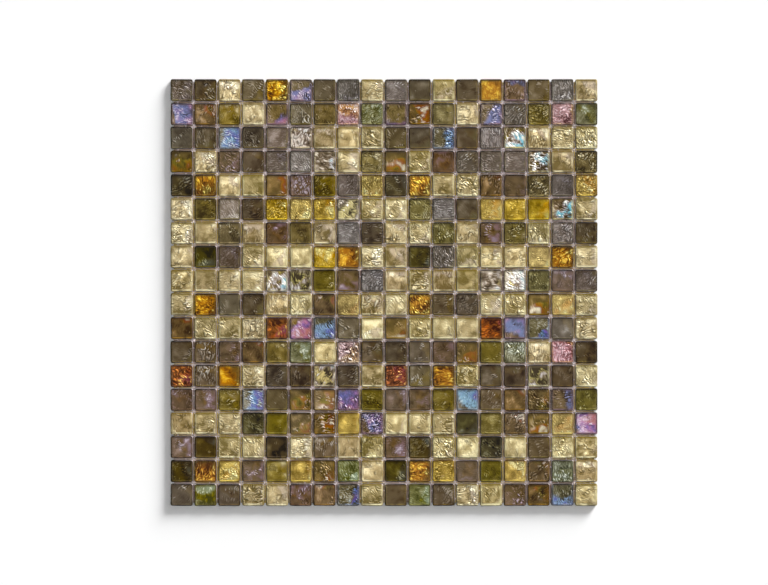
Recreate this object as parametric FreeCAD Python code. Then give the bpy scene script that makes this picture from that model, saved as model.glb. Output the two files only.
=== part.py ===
import FreeCAD, Part

# A mosaic tile sheet: small square glass tiles laid face up in rows, held at an even joint by an
# open glass-fibre mesh that is bonded to their backs.
# Millimetres. The origin is the middle of the sheet, on the back of the mesh. +X runs along a row,
# +Y towards the top row of the setting chart, and +Z out of the glass faces.

import os
import random

from FreeCAD import Placement, Rotation, Vector

# One glass tile. Its corners are nipped and its top edge is fire polished to a soft bevel.
TILE_SIDE = 15.3
TILE_THICKNESS = 4.0
TOP_BEVEL = 0.6
CORNER_CUT = 1.2

# The joint between two tiles, and how far hand setting leaves a tile out of place and out of square.
JOINT = 1.2
SETTING_SHIFT = 0.12
SETTING_TURN = 0.6
SETTING_SEED = 18

# The mesh is two layers of flattened yarn, bonded where they cross, and ends short of the tiles' edge.
YARN_WIDTH = 0.9
YARN_FLAT = 0.5
YARN_THICKNESS = 0.25
MESH_OPENING = 4.6
MESH_INSET = 2.0

# The glasses that the sheet is blended from, by the letter that stands for each in the chart.
GLASSES = {
    "g": "champagne_gold_tiles",
    "y": "yellow_gold_tiles",
    "a": "amber_tiles",
    "r": "rust_red_tiles",
    "c": "bronze_tiles",
    "u": "umber_tiles",
    "t": "taupe_tiles",
    "s": "smoke_grey_tiles",
    "m": "mauve_tiles",
    "o": "olive_tiles",
    "d": "dark_moss_tiles",
    "e": "sage_green_tiles",
    "v": "violet_tiles",
    "b": "sky_blue_tiles",
    "p": "rose_tiles",
    "w": "opal_tiles",
}

# The setting chart of one block, from the top row down. The sheet is BLOCKS_WIDE blocks side by side.
SETTING_CHART = (
    "sugtavtsg",
    "vcogvtope",
    "tubuswggg",
    "cgmtsswgo",
    "daggcmosy",
    "gosuyyywg",
    "ggogmogsu",
    "gdsgggyag",
    "ggggwwoms",
    "gatuggcyg",
    "cgggrvbtg",
    "utmcoegpu",
    "rtaguuwug",
    "mmobtccvo",
    "gggdoccyv",
    "mdggdgtgg",
    "daymoyceg",
    "teuggmcbg",
)
BLOCKS_WIDE = 2

TILE_PITCH = TILE_SIDE + JOINT
ROWS = len(SETTING_CHART)
COLUMNS = len(SETTING_CHART[0]) * BLOCKS_WIDE
MESH_THICKNESS = 2 * YARN_THICKNESS
UP = Vector(0, 0, 1)


def field_length(count):
    """The length over a run of tiles, without a joint at its ends."""
    return count * TILE_PITCH - JOINT


def tile():
    """One tile, centred on the origin with its back on the XY plane."""
    half = TILE_SIDE / 2
    block = Part.makeBox(TILE_SIDE, TILE_SIDE, TILE_THICKNESS, Vector(-half, -half, 0))
    top_edges = [
        edge for edge in block.Edges if all(abs(v.Z - TILE_THICKNESS) < 1e-6 for v in edge.Vertexes)
    ]
    block = block.makeChamfer(TOP_BEVEL, top_edges)
    # A prism turned 45 degrees nips the four upright corners, each leg CORNER_CUT long.
    across = (TILE_SIDE - CORNER_CUT) * 2**0.5
    nipper = Part.makeBox(across, across, TILE_THICKNESS, Vector(-across / 2, -across / 2, 0))
    nipper.rotate(Vector(), UP, 45)
    return block.common(nipper).Solids[0]


def yarn(length):
    """One flattened yarn along X, centred on the origin with its underside on the XY plane."""
    middle = YARN_THICKNESS / 2
    section = [
        Vector(0, -YARN_FLAT / 2, 0),
        Vector(0, YARN_FLAT / 2, 0),
        Vector(0, YARN_WIDTH / 2, middle),
        Vector(0, YARN_FLAT / 2, YARN_THICKNESS),
        Vector(0, -YARN_FLAT / 2, YARN_THICKNESS),
        Vector(0, -YARN_WIDTH / 2, middle),
    ]
    face = Part.Face(Part.makePolygon(section + section[:1]))
    face.translate(Vector(-length / 2, 0, 0))
    return face.extrude(Vector(length, 0, 0))


def placed(solid, x, y, z, turn):
    """A copy of the solid, turned about +Z by so many degrees and moved to its place."""
    copy = solid.copy()
    copy.Placement = Placement(Vector(x, y, z), Rotation(UP, turn))
    return copy


def yarn_places(across):
    """Evenly spaced yarn centrelines over a width of mesh, about its middle."""
    pitch = MESH_OPENING + YARN_WIDTH
    gaps = int((across - YARN_WIDTH) // pitch)
    return [(number - gaps / 2) * pitch for number in range(gaps + 1)]


def mesh():
    """The warp, which runs up the sheet along Y, and the weft on top of it, which runs along X."""
    width = field_length(COLUMNS) - 2 * MESH_INSET
    height = field_length(ROWS) - 2 * MESH_INSET
    upright = yarn(height)
    level = yarn(width)
    warp = [placed(upright, x, 0, 0, 90) for x in yarn_places(width)]
    weft = [placed(level, 0, y, YARN_THICKNESS, 0) for y in yarn_places(height)]
    return {"mesh_warp_yarns": warp, "mesh_weft_yarns": weft}


def tiles_by_glass():
    """Every tile of the sheet in its place on the mesh, grouped by the glass it is cut from."""
    blank = tile()
    hand = random.Random(SETTING_SEED)
    groups = {name: [] for name in GLASSES.values()}
    for row, line in enumerate(SETTING_CHART):
        for column, letter in enumerate(line * BLOCKS_WIDE):
            x = (column - (COLUMNS - 1) / 2) * TILE_PITCH + hand.uniform(-SETTING_SHIFT, SETTING_SHIFT)
            y = ((ROWS - 1) / 2 - row) * TILE_PITCH + hand.uniform(-SETTING_SHIFT, SETTING_SHIFT)
            turn = hand.uniform(-SETTING_TURN, SETTING_TURN)
            groups[GLASSES[letter]].append(placed(blank, x, y, MESH_THICKNESS, turn))
    return groups


os.makedirs("parts", exist_ok=True)
for node, solids in {**mesh(), **tiles_by_glass()}.items():
    Part.makeCompound(solids).exportStep(f"parts/{node}.step")
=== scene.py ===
import math
import random

import bmesh
import bpy
from mathutils import Matrix, Vector, kdtree, noise


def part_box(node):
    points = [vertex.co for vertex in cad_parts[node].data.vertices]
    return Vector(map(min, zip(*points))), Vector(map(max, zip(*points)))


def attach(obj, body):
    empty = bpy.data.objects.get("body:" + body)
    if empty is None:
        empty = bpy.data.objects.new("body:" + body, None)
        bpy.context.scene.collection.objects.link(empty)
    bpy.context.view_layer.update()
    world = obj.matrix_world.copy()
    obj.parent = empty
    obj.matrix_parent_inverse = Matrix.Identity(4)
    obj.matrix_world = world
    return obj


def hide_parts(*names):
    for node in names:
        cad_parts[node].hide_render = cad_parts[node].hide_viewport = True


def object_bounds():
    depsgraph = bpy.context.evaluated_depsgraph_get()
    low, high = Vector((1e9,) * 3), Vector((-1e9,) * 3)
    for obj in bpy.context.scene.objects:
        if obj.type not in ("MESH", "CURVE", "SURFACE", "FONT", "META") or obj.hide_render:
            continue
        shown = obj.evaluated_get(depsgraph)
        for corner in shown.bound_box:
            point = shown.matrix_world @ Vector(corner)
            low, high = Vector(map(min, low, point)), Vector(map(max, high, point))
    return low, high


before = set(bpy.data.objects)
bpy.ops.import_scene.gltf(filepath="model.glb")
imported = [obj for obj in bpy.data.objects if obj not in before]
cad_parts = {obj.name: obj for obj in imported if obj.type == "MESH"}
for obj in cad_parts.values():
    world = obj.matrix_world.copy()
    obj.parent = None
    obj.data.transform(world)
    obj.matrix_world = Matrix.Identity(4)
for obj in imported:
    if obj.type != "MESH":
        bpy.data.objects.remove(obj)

CAD_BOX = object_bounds()
MM = 0.001


# Champagne gold tiles. Clear glass pressed hot over crumpled pale gold leaf. The glass softens at its
# edge into a small round, and its face keeps a faint crown and the ripple of the mould. As on every
# tile of the sheet, grey enamel seals the leaf, and the back is stuck to the mesh.
def shade(red, green, blue):
    """A finish as a linear colour, from the three values of 0 to 255 that a colour card gives."""
    card = [value / 255 for value in (red, green, blue)]
    return [c / 12.92 if c <= 0.04045 else ((c + 0.055) / 1.055) ** 2.4 for c in card] + [1.0]


def add(tree, kind, inputs=None, **settings):
    """A shader node with its settings, and its inputs: each a plain value or another node's output."""
    made = tree.nodes.new("ShaderNode" + kind)
    for name, value in settings.items():
        setattr(made, name, value)
    for socket, value in (inputs or {}).items():
        if isinstance(value, bpy.types.NodeSocket):
            tree.links.new(value, made.inputs[socket])
        else:
            made.inputs[socket].default_value = value
    return made


def work(tree, operation, *values):
    """The result of a Math node."""
    return add(tree, "Math", dict(enumerate(values)), operation=operation).outputs[0]


def vector_work(tree, operation, *values):
    """The vector that a Vector Math node puts out."""
    return add(tree, "VectorMath", dict(enumerate(values)), operation=operation).outputs[0]


def vector_length(tree, vector):
    """How long a vector is."""
    return add(tree, "VectorMath", {0: vector}, operation="LENGTH").outputs["Value"]


def vector_times(tree, vector, factor):
    """A vector times a plain number."""
    return add(tree, "VectorMath", {0: vector, "Scale": factor}, operation="SCALE").outputs[0]


def split(tree, vector):
    """The three parts of a vector."""
    return add(tree, "SeparateXYZ", {0: vector}).outputs


def between(tree, value, low, high, start=0.0, end=1.0):
    """A value that goes evenly from low to high while another goes from start to end."""
    inputs = {"Value": value, "From Min": start, "From Max": end, "To Min": low, "To Max": high}
    return add(tree, "MapRange", inputs).outputs["Result"]


def fade(tree, value, start, end):
    """0 where the value is at start, 1 where it is at end, and eased between them."""
    inputs = {"Value": value, "From Min": start, "From Max": end}
    return add(tree, "MapRange", inputs, interpolation_type="SMOOTHSTEP").outputs["Result"]


def blend(tree, share, first, second):
    """A mix of two colours."""
    mix = add(tree, "Mix", {"Factor": share}, data_type="RGBA")
    for socket, colour in ((mix.inputs[6], first), (mix.inputs[7], second)):
        if isinstance(colour, bpy.types.NodeSocket):
            tree.links.new(colour, socket)
        else:
            socket.default_value = colour
    return mix.outputs[2]


def new_group(name, inputs, outputs):
    """An empty node group with its sockets, and its input and output nodes."""
    tree = bpy.data.node_groups.new(name, "ShaderNodeTree")
    for socket, kind in inputs.items():
        tree.interface.new_socket(socket, in_out="INPUT", socket_type="NodeSocket" + kind)
    for socket, kind in outputs.items():
        tree.interface.new_socket(socket, in_out="OUTPUT", socket_type="NodeSocket" + kind)
    return tree, tree.nodes.new("NodeGroupInput").outputs, tree.nodes.new("NodeGroupOutput").inputs


def use_group(tree, group, inputs):
    """A node group placed in a material, with its own values. Returns its outputs."""
    made = tree.nodes.new("ShaderNodeGroup")
    made.node_tree = group
    for socket, value in inputs.items():
        if isinstance(value, bpy.types.NodeSocket):
            tree.links.new(value, made.inputs[socket])
        else:
            made.inputs[socket].default_value = value
    return made.outputs


def new_material(name, **values):
    """A material with its Principled shader, and the values that are the same all over the surface."""
    material = bpy.data.materials.new(name)
    material.use_nodes = True
    shader = material.node_tree.nodes["Principled BSDF"]
    for socket, value in values.items():
        shader.inputs[socket.replace("_", " ").title().replace("Ior", "IOR")].default_value = value
    return material, material.node_tree, shader


def islands(solid):
    """The separate pieces of a mesh, each as a list of its vertices."""
    found = []
    for start in solid.verts:
        if start.tag:
            continue
        start.tag = True
        piece = [start]
        for vert in piece:
            for edge in vert.link_edges:
                other = edge.other_vert(vert)
                if not other.tag:
                    other.tag = True
                    piece.append(other)
        found.append(piece)
    return found


SAME_POINT = 0.0001 * MM
SAME_LEVEL = 0.01 * MM


def merged(node):
    """A copy of a CAD node's mesh with its doubled vertices merged."""
    solid = bmesh.new()
    solid.from_mesh(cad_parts[node].data)
    bmesh.ops.remove_doubles(solid, verts=solid.verts, dist=SAME_POINT)
    return solid


def finish_piece(name, mesh, materials, node):
    """Links a finished mesh as a piece that stands for a CAD node."""
    for material in materials:
        mesh.materials.append(material)
    piece = bpy.data.objects.new(name, mesh)
    bpy.context.scene.collection.objects.link(piece)
    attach(piece, "root")
    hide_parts(node)


FACE_STEPS = 12
EDGE_ROUND = 0.9 * MM
EDGE_STEPS = 4
CORNER_ROUND = 1.1 * MM
BACK_ARRIS = 0.15 * MM
CROWN = 0.12 * MM
RIPPLE_DEPTH = 0.16 * MM
RIPPLE_LENGTH = 3.2 * MM
SHARP_EDGE = math.radians(50)


def tile_seats(node):
    """The place and turn of each CAD tile of a node, and the tiles' half side, back and face heights."""
    solid = merged(node)
    seats = []
    for piece in islands(solid):
        low = Vector([min(vert.co[axis] for vert in piece) for axis in range(3)])
        high = Vector([max(vert.co[axis] for vert in piece) for axis in range(3)])
        middle = (low + high) / 2
        back = [vert.co for vert in piece if vert.co.z < low.z + SAME_LEVEL]
        right = sorted(sorted(back, key=lambda corner: -corner.x)[:2], key=lambda corner: corner.y)
        side = right[1] - right[0]
        turn = math.atan2(-side.x, side.y)
        half = (Matrix.Rotation(-turn, 3, "Z") @ (right[0] - middle)).x
        seats.append((round(middle.y / MM), round(middle.x / MM), middle, turn))
    solid.free()
    seats.sort(key=lambda seat: seat[:2])
    return seats, half, low.z, high.z


TILE_HALF, TILE_BACK, TILE_FACE = tile_seats("champagne_gold_tiles")[1:]


def round_corner(point, half, radius):
    """A point on a square outline, brought in where the outline's corner is round."""
    core = half - radius
    corner = Vector((math.copysign(core, point.x), math.copysign(core, point.y)))
    out = Vector((point.x, point.y)) - corner
    if out.x * corner.x > 0 and out.y * corner.y > 0:
        out = out.normalized() * radius
        return corner + out
    return Vector((point.x, point.y))


def tile_blank(half, thickness):
    """One tile with its back at z = 0: a gridded face, a rounded edge, straight sides and a flat back."""
    blank = bmesh.new()
    face_half = half - EDGE_ROUND
    bmesh.ops.create_grid(blank, x_segments=FACE_STEPS, y_segments=FACE_STEPS, size=face_half)
    bmesh.ops.translate(blank, verts=blank.verts, vec=(0, 0, thickness))
    edges = [edge for edge in blank.edges if edge.is_boundary]
    profile = []
    for step in range(1, EDGE_STEPS + 1):
        angle = math.pi / 2 * step / EDGE_STEPS
        drop = EDGE_ROUND * (1 - math.cos(angle))
        profile.append((face_half + EDGE_ROUND * math.sin(angle), thickness - drop))
    profile += [(half, BACK_ARRIS), (half - BACK_ARRIS, 0.0)]
    for reach, height in profile:
        grown = bmesh.ops.extrude_edge_only(blank, edges=edges)["geom"]
        edges = [item for item in grown if isinstance(item, bmesh.types.BMEdge)]
        radius = CORNER_ROUND - (half - reach)
        for vert in (item for item in grown if isinstance(item, bmesh.types.BMVert)):
            scale = reach / max(abs(vert.co.x), abs(vert.co.y))
            spot = round_corner(vert.co * scale, reach, radius)
            vert.co = (spot.x, spot.y, height)
    back = bmesh.ops.contextual_create(blank, geom=edges)["faces"]
    bmesh.ops.recalc_face_normals(blank, faces=blank.faces)
    for face in blank.faces:
        face.smooth = True
    for face in back:
        face.smooth = False
        face.material_index = 1
    mesh = bpy.data.meshes.new("tile_blank")
    blank.to_mesh(mesh)
    blank.free()
    return mesh


TILE_BLANK = tile_blank(TILE_HALF, TILE_FACE - TILE_BACK)


class Hand:
    """What differs from tile to tile, because each is pressed by itself from its own piece of leaf."""

    def __init__(self, row, column):
        draw = random.Random(f"{row} {column}")
        self.batch = draw.random()
        self.turn = draw.uniform(0, math.pi)
        self.depth = draw.random()
        self.bright = draw.uniform(-1, 1)
        self.film = draw.uniform(-1, 1)
        self.calm = draw.uniform(-1, 1)

    def ripple(self, x, y):
        """The relief of the tile's face at a place in it, from 0 in a hollow to 1 on a ridge."""
        cosine, sine = math.cos(self.turn), math.sin(self.turn)
        along, across = x * cosine + y * sine, y * cosine - x * sine
        spot = Vector((along, 0.6 * across, 0)) / RIPPLE_LENGTH + Vector((0, 0, 92 * self.batch))
        return max(0.0, min(1.0, 0.5 + 0.55 * noise.noise(spot) + 0.3 * noise.noise(spot * 2.3)))


def press_tiles(node):
    """All tiles of a node as one joined mesh, each with its own ripple and its place on its tile."""
    batch = bmesh.new()
    place = batch.verts.layers.float_vector.new("tile_place")
    hand_marks = batch.verts.layers.float_vector.new("tile_hand")
    kind_marks = batch.verts.layers.float_vector.new("tile_kind")
    relief = batch.verts.layers.float.new("tile_relief")
    for row, column, middle, turn in tile_seats(node)[0]:
        hand = Hand(row, column)
        start = len(batch.verts)
        batch.from_mesh(TILE_BLANK)
        batch.verts.ensure_lookup_table()
        seat = Matrix.Translation((middle.x, middle.y, TILE_BACK)) @ Matrix.Rotation(turn, 4, "Z")
        for vert in batch.verts[start:]:
            x, y, z = vert.co
            raised = hand.ripple(x, y)
            vert[place] = vert.co / MM
            vert[hand_marks] = (hand.batch, hand.turn, hand.depth)
            vert[kind_marks] = (hand.bright, hand.film, hand.calm)
            vert[relief] = raised
            if z > EDGE_ROUND:
                inside = min(1.0, (TILE_HALF - max(abs(x), abs(y))) / (2 * EDGE_ROUND))
                sunk = RIPPLE_DEPTH * (0.3 + 0.7 * hand.depth) * (1 - raised) * inside
                z -= CROWN * (x * x + y * y) / (2 * TILE_HALF * TILE_HALF) + sunk
            vert.co = seat @ Vector((x, y, z))
    mesh = bpy.data.meshes.new(node + "_pressed")
    batch.to_mesh(mesh)
    batch.free()
    mesh.set_sharp_from_angle(angle=SHARP_EDGE)
    return mesh


def beside(tree, toward, across):
    """1 beside the side of the tile that one coordinate points at, and 0 beside the other three."""
    return fade(tree, work(tree, "SUBTRACT", toward, work(tree, "ABSOLUTE", across)), -0.7, 0.7)


def tile_edge():
    """Marks a tile's painted light and shade: its outline, lit and shaded rims, upright sides and corners.
    """
    tree, given, result = new_group(
        "tile_edge",
        {"Place": "Vector", "Patch": "Float"},
        {
            "Outline": "Float",
            "Lit": "Float",
            "Shaded": "Float",
            "Rim": "Float",
            "Side": "Float",
            "Corner": "Float",
        },
    )
    # The marks are bands, in millimetres in from the outline, and turn its corners with this radius.
    bend = 1.7
    half = TILE_HALF / MM
    core = half - bend
    past_any_height = 99.0
    away = vector_work(tree, "ABSOLUTE", given["Place"])
    away = vector_work(tree, "SUBTRACT", away, (core, core, past_any_height))
    away = vector_work(tree, "MAXIMUM", away, (0.0, 0.0, 0.0))
    reach = vector_length(tree, away)
    squared = vector_length(tree, vector_work(tree, "MULTIPLY", away, away))
    depth = work(tree, "SUBTRACT", bend, work(tree, "SQRT", squared))
    right, up, height = split(tree, given["Place"])
    left = work(tree, "MULTIPLY", right, -1.0)
    down = work(tree, "MULTIPLY", up, -1.0)
    from_top = work(tree, "SUBTRACT", half, up)
    from_side = work(tree, "SUBTRACT", half, work(tree, "ABSOLUTE", right))
    from_edge = work(tree, "MINIMUM", from_side, work(tree, "SUBTRACT", half, work(tree, "ABSOLUTE", up)))
    sides = work(tree, "ADD", beside(tree, left, up), beside(tree, right, up))

    # The light comes over the top row, so it catches the lower rim most and the upper one least.
    rim = work(tree, "MULTIPLY", fade(tree, depth, 0.0, 0.5), fade(tree, depth, 1.7, 1.1))
    lit = work(tree, "MULTIPLY_ADD", sides, 0.4, beside(tree, down, right))

    # The outline is painted shade on the round of the edge: strong along the top, weaker at the sides, and
    # it comes and goes.
    dark = work(tree, "MULTIPLY_ADD", sides, 0.5, beside(tree, up, right))
    comes_and_goes = between(tree, given["Patch"], 0.15, 1.25, 0.4, 0.58)
    weight = work(tree, "MULTIPLY", between(tree, dark, 0.35, 1.0), comes_and_goes)
    weight = work(tree, "MULTIPLY_ADD", beside(tree, up, right), 0.45, weight)
    line = work(tree, "MULTIPLY", fade(tree, depth, 1.3, 0.6), work(tree, "MINIMUM", weight, 1.0))

    # The shade lies inside the upper rim and, where the patch allows, inside the side ones.
    side_shade = between(tree, given["Patch"], 0.2, 0.9, 0.58, 0.42)
    top_band = fade(tree, from_top, 2.8, 0.7)
    band = work(tree, "MULTIPLY_ADD", fade(tree, from_side, 2.4, 0.5), side_shade, top_band)

    wall = (TILE_FACE - TILE_BACK - EDGE_ROUND) / MM
    tree.links.new(line, result["Outline"])
    tree.links.new(work(tree, "MULTIPLY", rim, lit), result["Lit"])
    tree.links.new(work(tree, "MINIMUM", band, 1.0), result["Shaded"])
    tree.links.new(fade(tree, from_edge, 2.4, 1.6), result["Rim"])
    tree.links.new(fade(tree, height, wall + 0.5, wall), result["Side"])
    tree.links.new(fade(tree, reach, bend - 0.12, bend + 0.08), result["Corner"])
    return tree


def wrinkles():
    """Crumples in the leaf and drawn lines in the glass, which swirl their own way on every tile."""
    tree, given, result = new_group(
        "wrinkles",
        {"Place": "Vector", "Hand": "Vector", "Size": "Float", "Stretch": "Float", "Lines": "Float"},
        {
            "Crumple": "Float",
            "Lines": "Float",
            "Swell": "Float",
            "Patch": "Float",
            "Wander": "Float",
            "Along": "Float",
        },
    )
    batch, turn = split(tree, given["Hand"])[:2]
    around = {"Vector": given["Place"], "Angle": turn}
    turned = add(tree, "VectorRotate", around, rotation_type="Z_AXIS").outputs[0]

    # Every tile reads the noise at a height of its own, so that no two have the same swirl.
    shelf = add(tree, "CombineXYZ", {0: 0.0, 1: 0.0, 2: work(tree, "MULTIPLY", batch, 970.0)}).outputs[0]
    spot = vector_work(tree, "ADD", turned, shelf)
    slow = add(tree, "TexNoise", {"Vector": spot, "Scale": 0.16, "Detail": 1.0}).outputs["Color"]
    swell, patch, wander = split(tree, slow)
    moved = vector_work(tree, "ADD", spot, vector_times(tree, slow, 5.0))

    # Crumples in two sizes: creases where the noise passes its middle.
    inverse = work(tree, "DIVIDE", 1.0, given["Size"])
    squeeze = work(tree, "MULTIPLY", inverse, given["Stretch"])
    pull = add(tree, "CombineXYZ", {0: inverse, 1: squeeze, 2: 1.0}).outputs[0]
    drawn = vector_work(tree, "MULTIPLY", moved, pull)
    finer = vector_times(tree, drawn, 1.9)
    large = add(tree, "TexNoise", {"Vector": drawn, "Scale": 1.0, "Detail": 0.0}).outputs[0]
    small = add(tree, "TexNoise", {"Vector": finer, "Scale": 1.0, "Detail": 0.0}).outputs[0]
    large = work(tree, "ABSOLUTE", work(tree, "SUBTRACT", large, 0.5))
    small = work(tree, "ABSOLUTE", work(tree, "SUBTRACT", small, 0.5))
    crumple = work(tree, "MULTIPLY_ADD", small, 1.0, work(tree, "MULTIPLY", large, 3.9))

    # Thin drawn lines, evenly apart before the swirl bends them.
    across = split(tree, moved)[0]
    wave = work(tree, "SINE", work(tree, "MULTIPLY", across, work(tree, "DIVIDE", math.tau, given["Lines"])))
    lines = fade(tree, work(tree, "MULTIPLY_ADD", large, 2.5, wave), 0.75, 1.2)

    tree.links.new(crumple, result["Crumple"])
    tree.links.new(lines, result["Lines"])
    tree.links.new(swell, result["Swell"])
    tree.links.new(patch, result["Patch"])
    tree.links.new(wander, result["Wander"])
    tree.links.new(split(tree, turned)[1], result["Along"])
    return tree


TILE_EDGE = tile_edge()
WRINKLES = wrinkles()


def back_coat():
    """The grey enamel that seals the leaf on the back of every tile."""
    material, tree, shader = new_material("back_coat", roughness=0.7)
    place = add(tree, "TexCoord").outputs["Object"]
    grain = add(tree, "TexNoise", {"Vector": place, "Scale": 900.0, "Detail": 4.0}).outputs["Fac"]
    colour = blend(tree, grain, shade(120, 112, 108), shade(168, 160, 156))
    bump = add(tree, "Bump", {"Height": grain, "Strength": 0.4, "Distance": 0.05 * MM})
    tree.links.new(colour, shader.inputs["Base Color"])
    tree.links.new(bump.outputs[0], shader.inputs["Normal"])
    return material


BACK_COAT = back_coat()


def from_middle(tree, value, middle, gain):
    """How far a value is from its middle, times a gain."""
    return work(tree, "MULTIPLY", work(tree, "SUBTRACT", value, middle), gain)


def colour_bands(tree, value, colours):
    """Evenly spaced colours that run into each other as the value goes from 0 to 1."""
    ramp = add(tree, "ValToRGB", {0: value})
    bands = ramp.color_ramp.elements
    while len(bands) < len(colours):
        bands.new(0.5)
    for number, colour in enumerate(colours):
        bands[number].position = number / (len(colours) - 1)
        bands[number].color = shade(*colour)
    return ramp.outputs[0]


def glass(name, low, middle, high, glint, outline, lit, shaded, film, film_share=0.2, film_reach=4.0,
          film_melts=0.2, melts=(0.01, 0.1), cloud=3.2, spread=0.4, lean=(0.0, 0.0), size=1.6, stretch=0.6,
          crumple=1.0, calm=0.5, lines=0.3, line_gap=1.5, bump=0.2, glints=0.5, metal=0.4, line_share=0.9,
          shade_share=0.4, side=(218, 202, 198)):
    """A foil-backed glass. Colours are those of a colour card, and lengths are in millimetres.

    low, middle and high are the leaf's tones from a deep fold to a raised one, painted shade in the folds
    and painted light on the raised ones, and glint is the colour of its painted highlights.
    outline, lit and shaded are painted on the rims of the face: shade along the outline, light on the lower
    rim and shade inside the upper one.
    film holds the colours of the thin film, from where it starts. It covers film_share of the tile, and
    its start moves by up to film_reach from tile to tile, and its hue by up to film_melts.
    melts is how far a whole tile may be off in hue and in saturation, since no two melts are alike.
    cloud is how much the tone drifts over a tile, spread how much it differs from tile to tile, and lean
    how much it rises toward the right and the top.
    size, stretch and crumple are the length, the shape and the strength of the crumples, and calm is how
    smooth the rest is. lines and line_gap are the strength and the distance of the drawn lines.
    bump is the relief of both, glints the strength of the painted flashes, metal how metallic the leaf
    looks, line_share and shade_share the strength of outline and shade, and side the colour of the upright
    sides
    in the joints: adhesive, and painted light for the light that the glass lets through its sides.
    """
    material, tree, shader = new_material(name, coat_roughness=0.05, specular_ior_level=0.0)
    place = add(tree, "Attribute", attribute_name="tile_place").outputs["Vector"]
    hand = add(tree, "Attribute", attribute_name="tile_hand").outputs["Vector"]
    kind = add(tree, "Attribute", attribute_name="tile_kind").outputs["Vector"]
    relief = add(tree, "Attribute", attribute_name="tile_relief").outputs["Fac"]
    right, up, height = split(tree, place)
    batch, turn, pressed = split(tree, hand)
    bright, film_draw, calm_draw = split(tree, kind)
    folds = use_group(
        tree, WRINKLES, {"Place": place, "Hand": hand, "Size": size, "Stretch": stretch, "Lines": line_gap}
    )
    edge = use_group(tree, TILE_EDGE, {"Place": place, "Patch": folds["Wander"]})

    # The leaf: crumples and drawn lines where the tile is busy, over a tone that drifts. The tone is painted
    # shade in the deep folds and in the ripple's hollows, and painted light on the raised folds.
    stirred = work(tree, "MULTIPLY_ADD", calm_draw, 0.12, folds["Patch"])
    busy = fade(tree, stirred, 0.42 + 0.1 * calm, 0.5 + 0.1 * calm)
    busy = between(tree, busy, 1.0 - calm, 1.0)
    busy = work(tree, "MULTIPLY", busy, work(tree, "MULTIPLY_ADD", pressed, 0.9, 0.5))
    fold = work(tree, "MULTIPLY", from_middle(tree, folds["Crumple"], 0.46, 3.0 * crumple), busy)
    drawn = work(tree, "MULTIPLY", work(tree, "MULTIPLY", folds["Lines"], busy), lines)
    slow = work(tree, "MULTIPLY_ADD", bright, spread, from_middle(tree, folds["Swell"], 0.5, cloud))
    slow = work(tree, "MULTIPLY_ADD", right, lean[0] * MM / TILE_HALF, slow)
    slow = work(tree, "MULTIPLY_ADD", up, lean[1] * MM / TILE_HALF, slow)
    slow = work(tree, "ADD", slow, from_middle(tree, relief, 0.5, 0.5))
    tone = work(tree, "ADD", work(tree, "ADD", fold, slow), drawn)
    field = blend(tree, fade(tree, tone, 0.0, -1.0), shade(*middle), shade(*low))
    field = blend(tree, fade(tree, tone, 0.0, 1.0), field, shade(*high))

    # The film: bands of colour over one end of the tile, with a dark seam where it starts, painted shade in
    # its deep folds and a painted highlight in the glint colour on its raised ones.
    along = work(tree, "ADD", folds["Along"], from_middle(tree, folds["Wander"], 0.5, 9.0))
    film_start = (1 - 2 * film_share) * TILE_HALF / MM
    film_place = work(tree, "MULTIPLY_ADD", film_draw, film_reach, along)
    film_front = work(tree, "MULTIPLY_ADD", fold, 0.8, film_place)
    filmed = fade(tree, film_front, film_start - 1.4, film_start + 2.2)
    hue = work(tree, "MULTIPLY_ADD", fold, 0.15, from_middle(tree, folds["Swell"], 0.42, 2.5))
    hue = work(tree, "MULTIPLY_ADD", bright, 0.2, hue)
    hue = work(tree, "ADD", hue, from_middle(tree, batch, 0.5, film_melts))
    coloured = colour_bands(tree, work(tree, "MULTIPLY_ADD", along, 0.05, hue), film)
    coloured = blend(tree, fade(tree, tone, 0.2, -1.2), coloured, shade(*low))
    gleam = work(tree, "MULTIPLY", fade(tree, tone, 0.2, 1.3), 0.5)
    coloured = blend(tree, gleam, coloured, shade(*glint))
    field = blend(tree, filmed, field, coloured)
    seam = fade(tree, work(tree, "ABSOLUTE", work(tree, "SUBTRACT", film_place, film_start)), 0.6, 0.1)
    field = blend(tree, work(tree, "MULTIPLY", seam, 0.25), field, shade(*low))

    # Painted highlights in the glint colour on the highest folds, most of them under the film, and the
    # painted light and shade of the rims of the face.
    struck = work(tree, "MULTIPLY", fade(tree, tone, 0.6, 1.3), glints)
    sparkle = work(tree, "MULTIPLY", struck, work(tree, "MULTIPLY_ADD", filmed, 0.7, 0.3))
    colour = blend(tree, sparkle, field, shade(*glint))
    patchy = between(tree, folds["Swell"], 0.2, 1.0, 0.38, 0.58)
    colour = blend(tree, work(tree, "MULTIPLY", edge["Shaded"], shade_share), colour, shade(*shaded))
    colour = blend(tree, work(tree, "MULTIPLY", edge["Lit"], patchy), colour, shade(*lit))
    colour = blend(tree, work(tree, "MULTIPLY", edge["Outline"], line_share), colour, shade(*outline))

    # The melt: this tile's own hue and saturation.
    melt = {
        "Hue": work(tree, "ADD", from_middle(tree, turn, math.pi / 2, melts[0] * 2 / math.pi), 0.5),
        "Saturation": work(tree, "ADD", from_middle(tree, batch, 0.5, melts[1] * 2), 1.0),
        "Color": colour,
    }
    colour = add(tree, "HueSaturation", melt).outputs[0]

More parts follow.
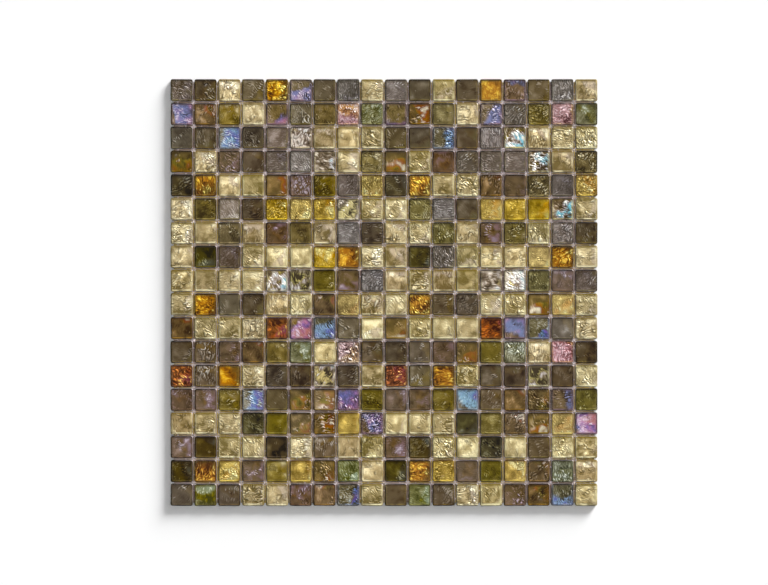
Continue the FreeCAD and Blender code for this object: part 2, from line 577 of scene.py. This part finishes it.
    # The upright sides: pale in the joints with adhesive and with painted light, for the light that the
    # glass lets through its sides, and clean glass around the sheet.
    soiled = work(tree, "MULTIPLY", fade(tree, folds["Swell"], 0.6, 0.4), 0.4)
    wall = blend(tree, soiled, shade(*side), shade(*outline))
    clean = blend(tree, fade(tree, height, 2.8, 0.4), shade(*middle), shade(*low))
    on_sheet = vector_work(tree, "ABSOLUTE", add(tree, "TexCoord").outputs["Object"])
    out_x, out_y = split(tree, on_sheet)[:2]
    furthest = work(tree, "MAXIMUM", out_x, out_y)
    from_sheet_edge = work(tree, "SUBTRACT", CAD_BOX[1][0], furthest)
    outer = fade(tree, from_sheet_edge, 4.5 * MM, 2.5 * MM)
    colour = blend(tree, edge["Side"], colour, blend(tree, outer, wall, clean))
    # Painted light: where four tiles meet, their corners are painted near white for the light that gets down
    # into the crossings.
    crossing_light = work(tree, "MULTIPLY", edge["Corner"], work(tree, "SUBTRACT", 1.0, outer))
    colour = blend(tree, crossing_light, colour, shade(*CROSSING_LIGHT_COLOUR))

    # The raised folds are smoother than the deep ones, and the rim is bare glass without leaf under it.
    rough = between(tree, tone, 0.42, 0.22, -1.0, 1.0)
    leafy = between(tree, edge["Rim"], metal, 0.0)
    glossy = between(tree, edge["Rim"], 1.0, 0.1)
    bumped = add(tree, "Bump", {"Height": work(tree, "ADD", fold, drawn), "Distance": bump * MM})
    tree.links.new(colour, shader.inputs["Base Color"])
    tree.links.new(rough, shader.inputs["Roughness"])
    tree.links.new(leafy, shader.inputs["Metallic"])
    tree.links.new(glossy, shader.inputs["Coat Weight"])
    tree.links.new(bumped.outputs[0], shader.inputs["Normal"])
    return material


def set_tiles(kind, material):
    """The finished tiles of one kind, which stand for the CAD tiles of that kind."""
    mesh = press_tiles(kind + "_tiles")
    finish_piece(kind + "_tiles_face_up", mesh, [material, BACK_COAT], kind + "_tiles")


# The near white painted on the tiles' corners where four meet, for the light that gets into the crossings.
CROSSING_LIGHT_COLOUR = (255, 236, 236)

champagne = glass(
    "champagne_gold_leaf",
    low=(112, 96, 52),
    middle=(160, 142, 99),
    high=(210, 193, 146),
    glint=(255, 246, 214),
    outline=(70, 54, 20),
    lit=(255, 244, 196),
    shaded=(118, 100, 36),
    film=((198, 182, 158), (176, 158, 128), (216, 202, 150)),
    film_share=0.25,
    melts=(0.008, 0.05),
    spread=0.55,
    lean=(0.0, 0.35),
    size=1.9,
    stretch=0.5,
    crumple=0.57,
    calm=0.7,
    lines=0.5,
    line_gap=1.2,
    bump=0.25,
    glints=0.6,
    metal=0.35,
    line_share=0.5,
    shade_share=0.85,
    side=(194, 164, 84),
)
set_tiles("champagne_gold", champagne)


# Yellow gold tiles. The same pressed glass over a yellower leaf, which shows orange where it is thick
# and pale green where the glass over it is.
yellow = glass(
    "yellow_gold_leaf",
    low=(100, 78, 18),
    middle=(148, 124, 56),
    high=(212, 182, 92),
    glint=(250, 236, 168),
    outline=(62, 42, 16),
    lit=(244, 212, 100),
    shaded=(96, 74, 20),
    film=((192, 142, 52), (158, 156, 98)),
    film_share=0.3,
    melts=(0.006, 0.14),
    spread=0.42,
    lean=(0.0, 0.2),
    size=1.3,
    stretch=0.55,
    crumple=0.5,
    calm=0.6,
    lines=0.4,
    metal=0.35,
    shade_share=0.8,
    side=(190, 148, 60),
)
set_tiles("yellow_gold", yellow)


# Amber tiles. Deep amber glass over bright gold leaf: painted light makes it yellow where the leaf lies
# flat, and painted shade brown in the folds and dark olive toward its edges.
amber = glass(
    "amber_glass",
    low=(70, 40, 10),
    middle=(156, 100, 20),
    high=(228, 178, 52),
    glint=(250, 226, 120),
    outline=(30, 21, 12),
    lit=(170, 130, 50),
    shaded=(74, 58, 22),
    film=((112, 66, 14), (96, 84, 34)),
    film_share=0.3,
    melts=(0.006, 0.03),
    spread=0.3,
    size=1.7,
    stretch=0.45,
    crumple=0.52,
    glints=0.7,
    metal=0.3,
    shade_share=0.9,
    side=(170, 100, 30),
)
set_tiles("amber", amber)


# Rust red tiles. Red brown glass with a flash of orange where the leaf shines through it, and a violet
# film at one side.
rust = glass(
    "rust_red_glass",
    low=(58, 26, 12),
    middle=(112, 62, 24),
    high=(190, 100, 40),
    glint=(255, 196, 90),
    outline=(31, 19, 14),
    lit=(150, 100, 44),
    shaded=(70, 40, 22),
    film=((156, 70, 20), (86, 40, 84)),
    film_share=0.3,
    melts=(0.01, 0.05),
    cloud=4.0,
    size=1.9,
    stretch=0.45,
    crumple=0.6,
    metal=0.3,
    shade_share=0.9,
    side=(150, 90, 50),
)
set_tiles("rust_red", rust)


# Bronze tiles. Brown glass fumed with metal salts. It is a smooth olive brown on one tile, and on the
# next it is wrinkled, with an orange or silver film.
bronze = glass(
    "bronze_glass",
    low=(50, 34, 12),
    middle=(90, 72, 38),
    high=(136, 110, 66),
    glint=(236, 222, 198),
    outline=(25, 17, 11),
    lit=(150, 118, 46),
    shaded=(58, 44, 22),
    film=((120, 106, 40), (132, 96, 34), (126, 74, 30), (112, 66, 38), (156, 146, 122)),
    film_share=0.4,
    film_melts=0.4,
    cloud=3.0,
    lean=(-0.2, 0.0),
    size=1.3,
    stretch=0.35,
    crumple=0.6,
    calm=0.85,
    lines=0.9,
    line_gap=1.7,
    glints=0.45,
    metal=0.25,
    shade_share=0.8,
)
set_tiles("bronze", bronze)


# Umber tiles. Dark brown glass, pressed nearly smooth, with a few fine lines where it was drawn out
# while it was soft.
umber = glass(
    "umber_glass",
    low=(42, 30, 18),
    middle=(78, 65, 46),
    high=(108, 95, 76),
    glint=(176, 164, 148),
    outline=(20, 14, 10),
    lit=(122, 102, 56),
    shaded=(46, 34, 20),
    film=((90, 72, 46), (84, 75, 48)),
    film_share=0.35,
    melts=(0.008, 0.14),
    cloud=3.0,
    lean=(-0.25, 0.0),
    size=1.3,
    stretch=0.35,
    crumple=0.5,
    calm=0.9,
    lines=0.9,
    line_gap=1.6,
    glints=0.35,
    metal=0.1,
    shade_share=0.8,
)
set_tiles("umber", umber)


# Taupe tiles. Grey brown glass, drawn out and pressed like the umber. A few have a pale wrinkled patch
# at one side: painted highlights on the wrinkles where the leaf under the glass has gathered.
taupe = glass(
    "taupe_glass",
    low=(64, 52, 36),
    middle=(92, 80, 61),
    high=(126, 114, 95),
    glint=(226, 220, 208),
    outline=(26, 20, 16),
    lit=(136, 122, 82),
    shaded=(60, 48, 32),
    film=((116, 98, 54), (104, 92, 72)),
    film_share=0.25,
    melts=(0.012, 0.28),
    cloud=2.5,
    spread=0.3,
    lean=(-0.25, 0.0),
    size=1.3,
    stretch=0.35,
    crumple=0.5,
    calm=0.9,
    lines=0.95,
    line_gap=1.6,
    glints=0.45,
    metal=0.1,
    shade_share=0.6,
)
set_tiles("taupe", taupe)


# Smoke grey tiles. Grey glass with a warm tint. It set while it still flowed, which rippled it all over
# in long curved folds.
smoke = glass(
    "smoke_grey_glass",
    low=(70, 60, 48),
    middle=(101, 90, 80),
    high=(138, 127, 118),
    glint=(212, 204, 198),
    outline=(33, 27, 26),
    lit=(140, 130, 104),
    shaded=(64, 54, 38),
    film=((124, 114, 116), (90, 80, 58)),
    film_share=0.3,
    melts=(0.012, 0.4),
    cloud=2.4,
    spread=0.6,
    lean=(-0.25, 0.0),
    size=1.3,
    stretch=0.4,
    crumple=0.65,
    calm=0.6,
    lines=0.8,
    glints=0.55,
    metal=0.15,
    shade_share=0.7,
)
set_tiles("smoke_grey", smoke)


# Mauve tiles. Brown glass, fumed with metal salts while it was hot. They left a thin mauve film on it,
# which turns orange or pale blue at a corner.
mauve = glass(
    "mauve_glass",
    low=(58, 44, 26),
    middle=(95, 77, 52),
    high=(124, 102, 84),
    glint=(206, 190, 200),
    outline=(25, 19, 17),
    lit=(130, 104, 70),
    shaded=(62, 48, 34),
    film=((112, 86, 46), (106, 87, 66), (118, 94, 94), (126, 110, 118)),
    film_share=0.5,
    film_melts=0.4,
    melts=(0.012, 0.15),
    cloud=2.8,
    lean=(-0.25, 0.0),
    size=1.3,
    stretch=0.45,
    crumple=0.45,
    calm=0.8,
    lines=0.5,
    glints=0.25,
    metal=0.15,
    shade_share=0.6,
)
set_tiles("mauve", mauve)


# Olive tiles. Yellow green glass over gold leaf, clear and smooth in the middle, with pale ripples
# toward one side and a brown cast toward the other.
olive = glass(
    "olive_glass",
    low=(50, 40, 10),
    middle=(96, 83, 34),
    high=(138, 124, 68),
    glint=(228, 218, 170),
    outline=(21, 16, 7),
    lit=(164, 148, 76),
    shaded=(56, 46, 12),
    film=((124, 108, 40), (112, 98, 66)),
    film_share=0.35,
    melts=(0.016, 0.2),
    cloud=2.6,
    spread=0.5,
    lean=(-0.1, 0.1),
    size=1.3,
    stretch=0.5,
    crumple=0.65,
    calm=0.8,
    lines=0.7,
    glints=0.4,
    metal=0.2,
    shade_share=0.85,
    side=(200, 176, 80),
)
set_tiles("olive", olive)


# Dark moss tiles. The darkest glass of the blend, brown green and pressed smooth, with thin lines near one
# corner where it was drawn out, made grey by painted highlights.
moss = glass(
    "dark_moss_glass",
    low=(30, 23, 8),
    middle=(64, 53, 18),
    high=(98, 86, 40),
    glint=(158, 152, 124),
    outline=(15, 11, 7),
    lit=(108, 94, 44),
    shaded=(34, 26, 12),
    film=((78, 62, 28), (64, 66, 58)),
    film_share=0.22,
    melts=(0.024, 0.2),
    cloud=3.6,
    spread=0.45,
    lean=(-0.25, 0.0),
    size=1.3,
    stretch=0.4,
    crumple=0.55,
    calm=0.9,
    lines=1.0,
    line_gap=1.6,
    glints=0.6,
    metal=0.1,
    shade_share=0.85,
)
set_tiles("dark_moss", moss)


# Sage green tiles. Grey green glass over leaf that broke up as the glass was pressed, which gives it a
# fine crackle, bright with painted light on its raised bits.
sage = glass(
    "sage_green_glass",
    low=(66, 66, 36),
    middle=(106, 104, 70),
    high=(148, 148, 114),
    glint=(236, 240, 216),
    outline=(24, 21, 14),
    lit=(148, 146, 98),
    shaded=(66, 62, 28),
    film=((112, 106, 36), (120, 126, 96), (136, 146, 128)),
    film_share=0.5,
    melts=(0.022, 0.35),
    cloud=3.8,
    spread=0.3,
    lean=(-0.2, 0.0),
    size=1.5,
    stretch=0.5,
    crumple=0.55,
    calm=0.4,
    lines=0.7,
    metal=0.2,
    shade_share=0.7,
)
set_tiles("sage_green", sage)


# Violet tiles. Brown glass, fumed until the film of metal salts on it is thick. The film runs from blue
# through violet to pink.
violet = glass(
    "violet_glass",
    low=(58, 42, 20),
    middle=(112, 90, 50),
    high=(146, 122, 88),
    glint=(226, 214, 232),
    outline=(33, 25, 26),
    lit=(146, 116, 124),
    shaded=(80, 60, 52),
    film=((104, 112, 160), (130, 106, 156), (160, 110, 140), (166, 114, 112)),
    film_share=0.6,
    film_reach=8.0,
    film_melts=1.0,
    melts=(0.015, 0.18),
    cloud=2.6,
    spread=0.5,
    lean=(-0.3, -0.1),
    size=1.3,
    stretch=0.45,
    crumple=0.8,
    calm=0.8,
    lines=0.5,
    glints=0.35,
    metal=0.15,
    shade_share=0.6,
)
set_tiles("violet", violet)


# Sky blue tiles. The same brown glass under a thinner fumed film, which runs from pale cyan through
# deep blue to violet.
sky = glass(
    "sky_blue_glass",
    low=(56, 48, 30),
    middle=(98, 88, 60),
    high=(142, 132, 108),
    glint=(208, 226, 232),
    outline=(30, 26, 27),
    lit=(150, 160, 172),
    shaded=(62, 54, 44),
    film=((128, 164, 192), (90, 116, 170), (100, 84, 154), (100, 90, 68)),
    film_share=0.5,
    film_melts=0.5,
    melts=(0.02, 0.1),
    cloud=2.6,
    spread=0.35,
    lean=(-0.3, -0.1),
    size=1.3,
    stretch=0.4,
    crumple=0.6,
    calm=0.6,
    lines=0.6,
    glints=0.45,
    metal=0.15,
    shade_share=0.6,
)
set_tiles("sky_blue", sky)


# Rose tiles. Pink glass over leaf that crackled into small dark red cells as it was pressed. A film
# gives it a gold cast at one side.
rose = glass(
    "rose_glass",
    low=(72, 34, 36),
    middle=(162, 118, 116),
    high=(212, 172, 176),
    glint=(252, 234, 228),
    outline=(40, 26, 25),
    lit=(214, 176, 130),
    shaded=(110, 74, 60),
    film=((178, 130, 58), (210, 168, 92)),
    film_share=0.46,
    film_reach=7.0,
    film_melts=0.6,
    melts=(0.012, 0.25),
    spread=0.45,
    lean=(-0.2, 0.2),
    size=1.8,
    stretch=0.7,
    crumple=0.7,
    glints=0.6,
    metal=0.3,
    shade_share=0.5,
)
set_tiles("rose", rose)


# Opal tiles. Milky glass pressed over silver leaf that lies in broad bright folds. A fumed film gives
# it a yellow and a cyan cast.
opal = glass(
    "opal_glass",
    low=(62, 51, 36),
    middle=(105, 90, 72),
    high=(200, 186, 168),
    glint=(255, 250, 240),
    outline=(36, 29, 26),
    lit=(224, 210, 166),
    shaded=(104, 90, 64),
    film=((200, 182, 110), (132, 114, 92), (194, 186, 184), (134, 180, 190)),
    film_share=0.55,
    film_reach=6.0,
    film_melts=1.2,
    melts=(0.012, 0.3),
    cloud=4.2,
    spread=0.9,
    lean=(-0.3, -0.1),
    size=1.9,
    stretch=0.35,
    crumple=0.52,
    calm=0.4,
    lines=0.5,
    glints=0.8,
    metal=0.35,
    shade_share=0.6,
)
set_tiles("opal", opal)


# Backing mesh. Glass-fibre yarns, each a flattened bundle of filaments, woven over and under into an
# open square net. The net is dipped in a pale resin that stiffens it and bonds the crossings, and dabs
# of white adhesive hold it to the tiles' corners. Gold glass throws a warm light on the yarns beside it.
YARN_STEPS = 4
TILE_PITCH = 16.5 * MM
DAB_COLOUR = (255, 240, 244)
WARM_COLOUR = (240, 214, 116)
WARM_GLASSES = ("champagne_gold_tiles", "yellow_gold_tiles", "amber_tiles", "rust_red_tiles", "olive_tiles")


def filaments():
    """Fine parallel filaments along the yarn, with drops of resin between them."""
    tree, given, result = new_group(
        "filaments",
        {"Along": "Vector", "Resin": "Color"},
        {"Color": "Color", "Height": "Float", "Roughness": "Float"},
    )
    strands = add(tree, "TexNoise", {"Vector": given["Along"], "Scale": 1.0, "Detail": 3.0})
    resin = add(tree, "TexNoise", {"Vector": given["Along"], "Scale": 0.12, "Detail": 2.0})
    worn = fade(tree, resin.outputs["Fac"], 0.38, 0.62)
    tone = blend(tree, strands.outputs["Fac"], shade(130, 102, 76), shade(206, 176, 140))
    tree.links.new(blend(tree, worn, tone, given["Resin"]), result["Color"])
    tree.links.new(strands.outputs["Fac"], result["Height"])
    tree.links.new(between(tree, worn, 0.75, 0.45), result["Roughness"])
    return tree


FILAMENTS = filaments()


def yarn_material(name, across, resin):
    """Yarn that runs along Y if across is 0 and along X if it is 1, stiffened with resin of one colour."""
    material, tree, shader = new_material(name, specular_ior_level=0.4, coat_roughness=0.3, coat_ior=2.0)
    place = add(tree, "TexCoord").outputs["Object"]
    fine = [1 / (0.12 * MM)] * 3
    fine[1 - across] = 1 / (2.4 * MM)
    stretched = add(tree, "Mapping", {"Vector": place, "Scale": fine}).outputs[0]
    yarn = use_group(tree, FILAMENTS, {"Along": stretched, "Resin": shade(*resin)})
    run = split(tree, place)[1 - across]
    from_crossing = work(tree, "PINGPONG", run, TILE_PITCH / 2)
    dabbed = fade(tree, from_crossing, 1.6 * MM, 0.6 * MM)
    amount = add(tree, "TexNoise", {"Vector": place, "Scale": 60.0, "Detail": 1.0}).outputs["Fac"]
    dabbed = work(tree, "MULTIPLY", dabbed, fade(tree, amount, 0.36, 0.5))
    bump = add(tree, "Bump", {"Height": yarn["Height"], "Strength": 0.5, "Distance": 0.05 * MM})
    warmth = add(tree, "Attribute", attribute_name="yarn_warmth").outputs["Fac"]
    colour = blend(tree, dabbed, yarn["Color"], shade(*DAB_COLOUR))
    warmed = between(tree, dabbed, 0.9, 0.35)
    colour = blend(tree, work(tree, "MULTIPLY", warmth, warmed), colour, shade(*WARM_COLOUR))
    tree.links.new(colour, shader.inputs["Base Color"])
    tree.links.new(yarn["Roughness"], shader.inputs["Roughness"])
    tree.links.new(dabbed, shader.inputs["Coat Weight"])
    tree.links.new(bump.outputs[0], shader.inputs["Normal"])
    return material


def yarn_blank(length, width, height, stations):
    """One flattened yarn along X, centred on the origin, with loops of points to bend it at."""
    blank = bmesh.new()
    ring = bmesh.ops.create_circle(blank, segments=8, radius=0.5)["verts"]
    for vert in ring:
        vert.co = (-length / 2, vert.co.x * width, vert.co.y * height)
    edges = list(blank.edges)
    bmesh.ops.contextual_create(blank, geom=edges)
    for station in range(stations):
        grown = bmesh.ops.extrude_edge_only(blank, edges=edges)["geom"]
        edges = [item for item in grown if isinstance(item, bmesh.types.BMEdge)]
        ring = [item for item in grown if isinstance(item, bmesh.types.BMVert)]
        bmesh.ops.translate(blank, verts=ring, vec=(length / stations, 0, 0))
    bmesh.ops.contextual_create(blank, geom=edges)
    bmesh.ops.recalc_face_normals(blank, faces=blank.faces)
    for face in blank.faces:
        face.smooth = len(face.verts) == 4
    mesh = bpy.data.meshes.new("yarn_blank")
    blank.to_mesh(mesh)
    blank.free()
    return mesh


def warm_finder():
    """The middle of every tile in a tree that finds the nearest, and whether each tile is of warm glass."""
    middles = []
    warm = []
    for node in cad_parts:
        if node.endswith("_tiles"):
            seats = tile_seats(node)[0]
            middles += [seat[2] for seat in seats]
            warm += [float(node in WARM_GLASSES)] * len(seats)
    finder = kdtree.KDTree(len(middles))
    for number, middle in enumerate(middles):
        finder.insert((middle.x, middle.y, 0.0), number)
    finder.balance()
    return finder, warm


TILE_FINDER, TILE_WARMTH = warm_finder()


def weave_yarns(node, along, other_node, phase):
    """Every yarn of one direction, taken over and under the yarns of the other direction."""
    across = 1 - along
    low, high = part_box(node)
    other_low, other_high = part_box(other_node)
    bottom, top = min(low.z, other_low.z), max(high.z, other_high.z)
    swing = (top - bottom - (high.z - low.z)) / 2
    solid = merged(node)
    sides = [[vert.co[across] for vert in piece] for piece in islands(solid)]
    solid.free()
    lines = sorted((min(side) + max(side)) / 2 for side in sides)
    pitch = (lines[-1] - lines[0]) / (len(lines) - 1)
    width = max(sides[0]) - min(sides[0])
    length = high[along] - low[along]
    blank = yarn_blank(length, width, high.z - low.z, round(length / pitch * YARN_STEPS))
    net = bmesh.new()
    warmth = net.verts.layers.float.new("yarn_warmth")
    for number, line in enumerate(lines):
        start = len(net.verts)
        net.from_mesh(blank)
        net.verts.ensure_lookup_table()
        for vert in net.verts[start:]:
            run, off, rise = vert.co
            over = math.cos(math.pi * (run / pitch + number + phase))
            vert.co[along] = run
            vert.co[across] = line + (off if along == 0 else -off)
            vert.co.z = rise + (bottom + top) / 2 + swing * over
            beside_it = TILE_FINDER.find_n((vert.co.x, vert.co.y, 0.0), 2)
            vert[warmth] = sum(TILE_WARMTH[found[1]] for found in beside_it) / 2
    mesh = bpy.data.meshes.new(node + "_woven")
    net.to_mesh(mesh)
    net.free()
    bpy.data.meshes.remove(blank)
    return mesh


WARP, WEFT = "mesh_warp_yarns", "mesh_weft_yarns"
# Painted shade: the warp runs up and down the sheet and takes a darker resin colour than the weft, for the
# deeper shade in the joints that run up and down.
warp_yarn = yarn_material("warp_yarn", 0, (178, 156, 148))
weft_yarn = yarn_material("weft_yarn", 1, (226, 208, 200))
finish_piece("warp_yarns", weave_yarns(WARP, 1, WEFT, 0), [warp_yarn], WARP)
finish_piece("weft_yarns", weave_yarns(WEFT, 0, WARP, 1), [weft_yarn], WEFT)


# Floor, light and camera. The sheet lies face up on a plain pale floor under a soft studio light, and
# the camera looks straight down on it.
FLOOR_SIZE = 30.0
floor_shape = bmesh.new()
bmesh.ops.create_grid(floor_shape, x_segments=1, y_segments=1, size=FLOOR_SIZE / 2)
floor_mesh = bpy.data.meshes.new("floor")
floor_shape.to_mesh(floor_mesh)
floor_shape.free()
floor_material, _, floor_shader = new_material("pale_floor", roughness=0.9, specular_ior_level=0.0)
floor_shader.inputs["Base Color"].default_value = (1.0, 1.0, 1.0, 1.0)
floor_mesh.materials.append(floor_material)
floor = bpy.data.objects.new("floor", floor_mesh)
bpy.context.scene.collection.objects.link(floor)

KEY_AZIMUTH = 38.0
KEY_ELEVATION = 17.6
KEY_SPREAD = 27.0
KEY_STRENGTH = 6.4
key = bpy.data.lights.new("key", "SUN")
key.energy = KEY_STRENGTH
key.angle = math.radians(KEY_SPREAD)
key_lamp = bpy.data.objects.new("key", key)
key_lamp.rotation_euler = (0.0, math.radians(90 - KEY_ELEVATION), math.radians(90 - KEY_AZIMUTH))
bpy.context.scene.collection.objects.link(key_lamp)

# The room is dim, with a ring light overhead, a panel on the key's side and a low one at the right. The
# camera sees a plain white backdrop instead.
ROOM_STRENGTH = 0.05
RING_STRENGTH = 6.3
PANEL_STRENGTH = 0.15
SIDE_STRENGTH = 0.3
BACKDROP_STRENGTH = 1.0
world = bpy.data.worlds.new("studio")
bpy.context.scene.world = world
world.use_nodes = True
room = world.node_tree
backdrop = room.nodes["Background"]
east, north, above = split(room, add(room, "TexCoord").outputs["Generated"])
ring = work(room, "MULTIPLY", fade(room, above, 0.968, 0.976), fade(room, above, 0.996, 0.992))
toward_key = fade(room, work(room, "ADD", east, north), -0.7, 0.7)
panel = work(room, "MULTIPLY", fade(room, above, 0.2, 0.5), toward_key)
toward_side = fade(room, work(room, "SUBTRACT", east, north), 0.5, 1.1)
side_panel = work(room, "MULTIPLY", toward_side, fade(room, above, 0.5, 0.25))
strength = work(room, "MULTIPLY_ADD", ring, RING_STRENGTH, ROOM_STRENGTH)
strength = work(room, "MULTIPLY_ADD", panel, PANEL_STRENGTH, strength)
strength = work(room, "MULTIPLY_ADD", side_panel, SIDE_STRENGTH, strength)
seen = add(room, "LightPath").outputs["Is Camera Ray"]
choice = {"Factor": seen, 2: strength, 3: BACKDROP_STRENGTH}
strength = add(room, "Mix", choice, data_type="FLOAT").outputs[0]
room.links.new(strength, backdrop.inputs["Strength"])
backdrop.inputs["Color"].default_value = (1.0, 1.0, 1.0, 1.0)

# The picture is this wide at the face of the tiles, seen through a long lens.
FRAME_WIDTH = 532.5 * MM
CAMERA_HEIGHT = 5.0
camera_data = bpy.data.cameras.new("camera")
camera_data.sensor_width = 36.0
camera_data.lens = camera_data.sensor_width * CAMERA_HEIGHT / FRAME_WIDTH
camera = bpy.data.objects.new("camera", camera_data)
camera.location = (0.0, 0.0, CAMERA_HEIGHT + CAD_BOX[1][2])
bpy.context.scene.collection.objects.link(camera)
bpy.context.scene.camera = camera
bpy.context.scene.view_settings.view_transform = "Standard"
